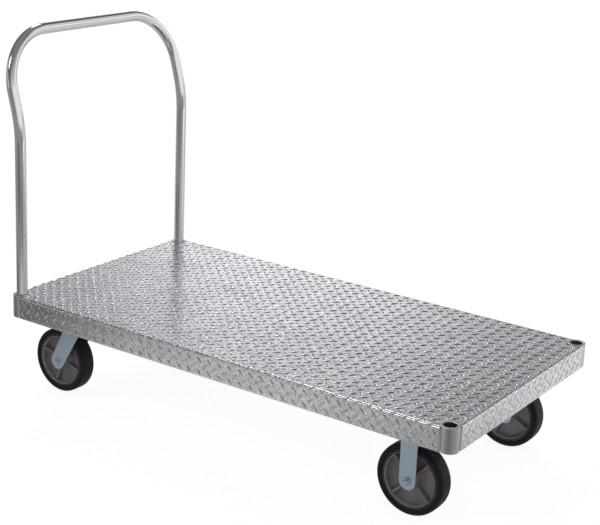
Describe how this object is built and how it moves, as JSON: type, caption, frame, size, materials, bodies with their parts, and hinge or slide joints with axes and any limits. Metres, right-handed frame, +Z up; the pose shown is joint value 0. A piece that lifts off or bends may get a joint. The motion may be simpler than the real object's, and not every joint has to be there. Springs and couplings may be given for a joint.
{
  "type": "flatbed platform truck",
  "caption": "Flatbed platform truck: a folded treadplate deck on rigid and swivel casters, with a bent-tube push handle in corner sockets.",
  "frame": {"origin": "on the floor, at the middle of the whole truck's footprint", "axes": "+X away from the handle, along the deck; +Y to the operator's left; +Z up"},
  "size_m": [1.6134, 0.803, 1.1331],
  "materials": {
    "treadplate": "bright rolled treadplate with raised lugs",
    "frame_aluminium": "mill finish",
    "handle_tube": "polished",
    "zinc_plate": "bright zinc plating, slightly blue",
    "wheel_core": "warm grey cast iron",
    "tyre_rubber": "smooth black moulded rubber",
    "bearing_steel": "ground steel"
  },
  "bodies": {
    "deck": {"tread_deck": "treadplate", "corner_socket_rear_left": "frame_aluminium", "corner_socket_rear_right": "frame_aluminium", "corner_socket_front_left": "frame_aluminium", "corner_socket_front_right": "frame_aluminium", "caster_bolster_rear": "frame_aluminium", "caster_bolster_front": "frame_aluminium", "stringer_left": "frame_aluminium", "stringer_centre": "frame_aluminium", "stringer_right": "frame_aluminium", "cross_rib_left": "frame_aluminium", "cross_rib_right": "frame_aluminium", "swivel_plate_left": "zinc_plate", "kingpin_left": "zinc_plate", "kingpin_nut_left": "zinc_plate", "swivel_plate_right": "zinc_plate", "kingpin_right": "zinc_plate", "kingpin_nut_right": "zinc_plate", "rigid_fork_left": "zinc_plate", "rigid_fork_right": "zinc_plate", "axle_sleeve_front_left": "bearing_steel", "hub_washer_inner_front_left": "zinc_plate", "hub_washer_outer_front_left": "zinc_plate", "axle_bolt_front_left": "zinc_plate", "axle_nut_front_left": "zinc_plate", "axle_sleeve_front_right": "bearing_steel", "hub_washer_inner_front_right": "zinc_plate", "hub_washer_outer_front_right": "zinc_plate", "axle_bolt_front_right": "zinc_plate", "axle_nut_front_right": "zinc_plate"},
    "handle": {"push_handle": "handle_tube"},
    "swivel_left": {"swivel_fork_left": "zinc_plate", "swivel_ball_race_left": "bearing_steel", "axle_sleeve_rear_left": "bearing_steel", "hub_washer_inner_rear_left": "zinc_plate", "hub_washer_outer_rear_left": "zinc_plate", "axle_bolt_rear_left": "zinc_plate", "axle_nut_rear_left": "zinc_plate"},
    "swivel_right": {"swivel_fork_right": "zinc_plate", "swivel_ball_race_right": "bearing_steel", "axle_sleeve_rear_right": "bearing_steel", "hub_washer_inner_rear_right": "zinc_plate", "hub_washer_outer_rear_right": "zinc_plate", "axle_bolt_rear_right": "zinc_plate", "axle_nut_rear_right": "zinc_plate"},
    "wheel_rear_left": {"tyre_rear_left": "tyre_rubber", "wheel_core_rear_left": "wheel_core", "roller_bearing_rear_left": "bearing_steel"},
    "wheel_rear_right": {"tyre_rear_right": "tyre_rubber", "wheel_core_rear_right": "wheel_core", "roller_bearing_rear_right": "bearing_steel"},
    "wheel_front_left": {"tyre_front_left": "tyre_rubber", "wheel_core_front_left": "wheel_core", "roller_bearing_front_left": "bearing_steel"},
    "wheel_front_right": {"tyre_front_right": "tyre_rubber", "wheel_core_front_right": "wheel_core", "roller_bearing_front_right": "bearing_steel"}
  },
  "joints": [
    {"name": "handle_lift", "type": "slide", "parent": "deck", "child": "handle", "axis": [0, 0, 1], "range_m": [0, 0.06]},
    {"name": "swivel_left_turn", "type": "hinge", "parent": "deck", "child": "swivel_left", "pos_m": [-0.57825, 0.263, 0.226], "axis": [0, 0, 1], "continuous": true},
    {"name": "swivel_right_turn", "type": "hinge", "parent": "deck", "child": "swivel_right", "pos_m": [-0.57825, -0.263, 0.226], "axis": [0, 0, 1], "continuous": true},
    {"name": "wheel_rear_left_roll", "type": "hinge", "parent": "swivel_left", "child": "wheel_rear_left", "pos_m": [-0.64425, 0.263, 0.1016], "axis": [0, 1, 0], "continuous": true},
    {"name": "wheel_rear_right_roll", "type": "hinge", "parent": "swivel_right", "child": "wheel_rear_right", "pos_m": [-0.64425, -0.263, 0.1016], "axis": [0, 1, 0], "continuous": true},
    {"name": "wheel_front_left_roll", "type": "hinge", "parent": "deck", "child": "wheel_front_left", "pos_m": [0.63175, 0.277, 0.1016], "axis": [0, 1, 0], "continuous": true},
    {"name": "wheel_front_right_roll", "type": "hinge", "parent": "deck", "child": "wheel_front_right", "pos_m": [0.63175, -0.277, 0.1016], "axis": [0, 1, 0], "continuous": true}
  ]
}
